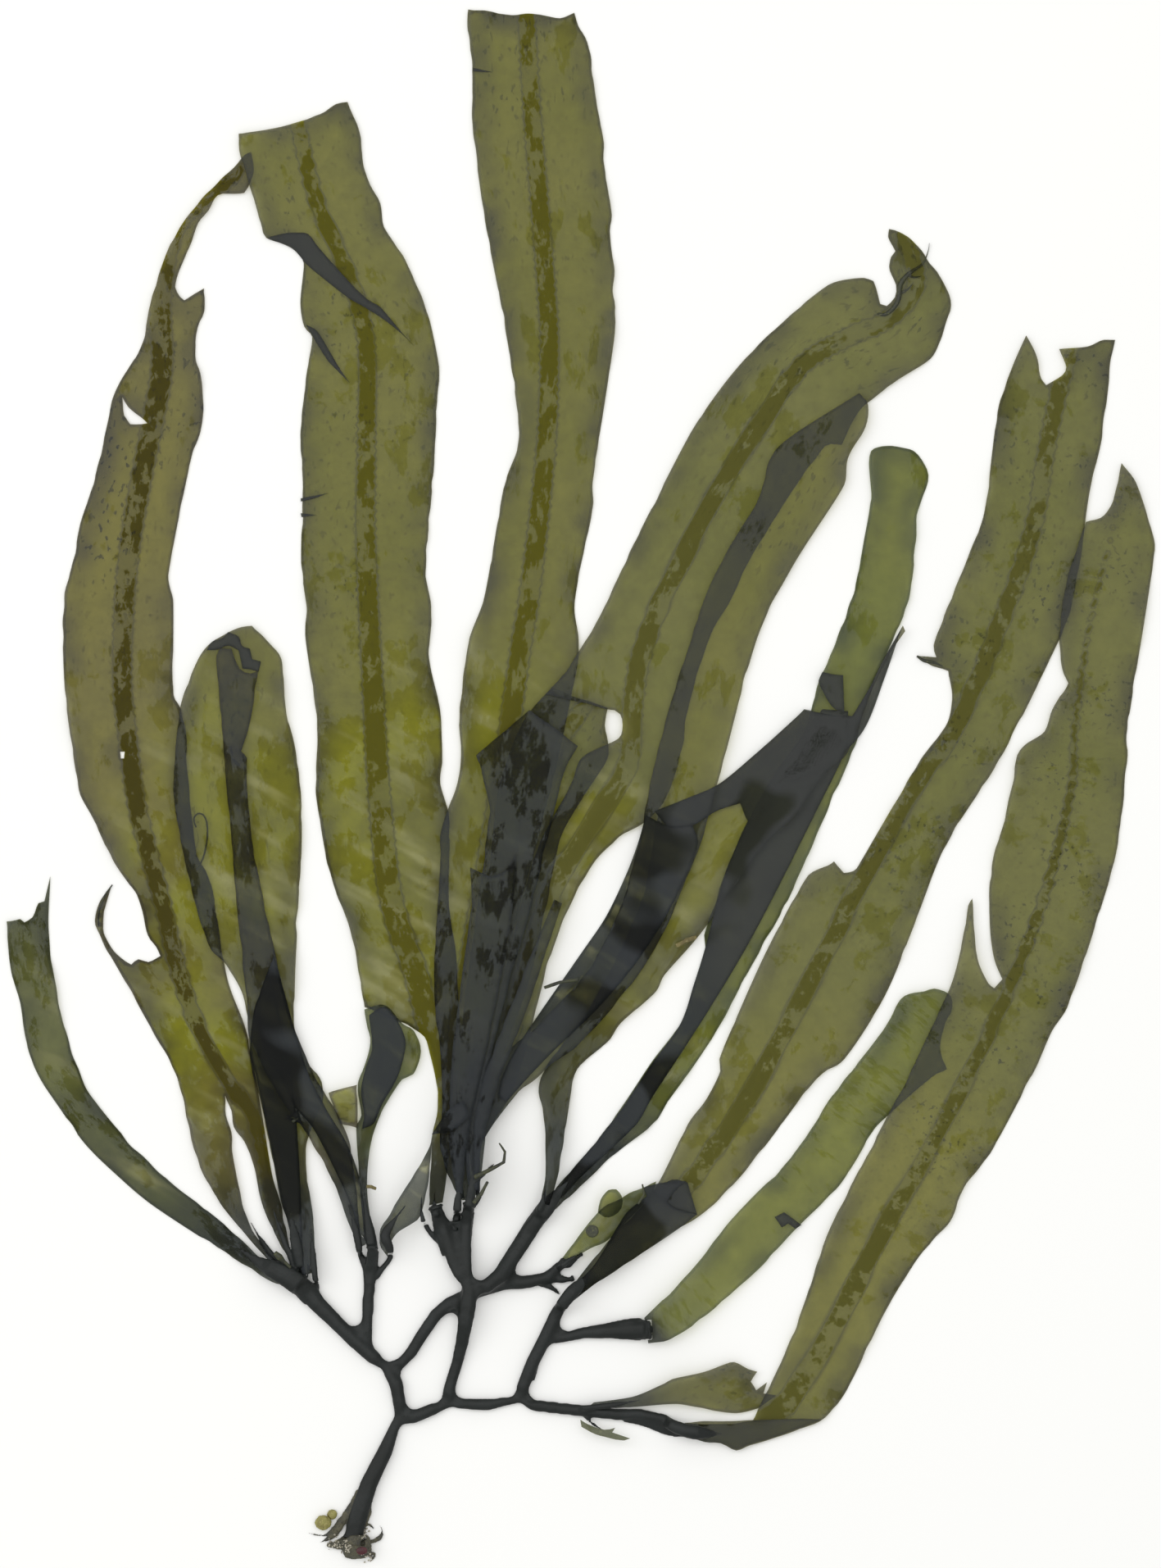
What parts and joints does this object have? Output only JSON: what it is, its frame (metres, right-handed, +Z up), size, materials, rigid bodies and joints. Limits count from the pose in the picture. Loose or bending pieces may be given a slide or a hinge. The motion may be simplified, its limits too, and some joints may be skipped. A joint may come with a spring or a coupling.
{
  "type": "kelp frond",
  "caption": "Branching brown kelp laid flat: a holdfast, forked dark stipes and long thin olive blades that lie over each other, with torn tips.",
  "frame": {"origin": "the middle of the frond's underside, on the surface that it lies on", "axes": "+Y from the holdfast to the tips, +Z up from the surface, +X to the right as seen from above"},
  "size_m": [0.287, 0.3884, 0.0106],
  "materials": {
    "stipe": "wet, dark and slightly speckled",
    "holdfast": "damp, rough and gritty",
    "nodule": "waxy and pebbled",
    "red_weed": "wet",
    "blade": "wet, thin and translucent, with fine specks",
    "green_blade": "wet, thin and translucent, with fine specks",
    "folded_blade": "wet, doubled over and darker",
    "young_growth": "waxy",
    "loose_fragment": "dull",
    "shell": "dull with growth rings"
  },
  "bodies": {
    "root": {"stipe_main": "stipe", "stipe_left_lower": "stipe", "stipe_right_lower": "stipe", "stipe_left_upper": "stipe", "stipe_inner": "stipe", "stipe_long": "stipe", "stipe_long_twig_right": "stipe", "stipe_long_twig_low": "stipe", "stipe_middle": "stipe", "stipe_middle_left": "stipe", "stipe_middle_centre": "stipe", "stipe_middle_right": "stipe", "stipe_right_middle": "stipe", "stipe_upright": "stipe", "stipe_green_short": "stipe", "stipe_right_upper": "stipe", "stipe_right_strand": "stipe", "holdfast": "holdfast", "hapteron_left": "holdfast", "hapteron_right": "holdfast", "hapteron_hook": "holdfast", "nodule_large": "nodule", "nodule_small": "nodule", "red_weed_scrap": "red_weed", "blade_far_left": "blade", "blade_left_long": "blade", "blade_centre_left": "blade", "blade_right_large": "blade", "blade_paddle": "blade", "blade_left_round": "blade", "blade_tallest": "blade", "blade_wide_hidden": "blade", "blade_rightmost": "blade", "blade_curled": "blade", "blade_left_narrow": "blade", "blade_bowed_leg": "blade", "blade_bowed": "blade", "blade_under_bow": "blade", "blade_short_torn": "blade", "blade_short_inner": "blade", "blade_sliver": "blade", "blade_green_tall": "green_blade", "leaf_young": "green_blade", "blade_green_short": "green_blade", "leaflet_disc": "green_blade", "scrap_low": "folded_blade", "lobe_small": "folded_blade", "flap_cross": "folded_blade", "blade_bent": "folded_blade", "flap_torn": "folded_blade", "flap_folded": "folded_blade", "bud": "young_growth", "twig_young_upper": "young_growth", "twig_young_lower": "young_growth", "tendril": "young_growth", "strand": "young_growth", "fragment_brown": "loose_fragment", "fragment_pale": "loose_fragment", "shell_disc": "shell"}
  },
  "joints": []
}
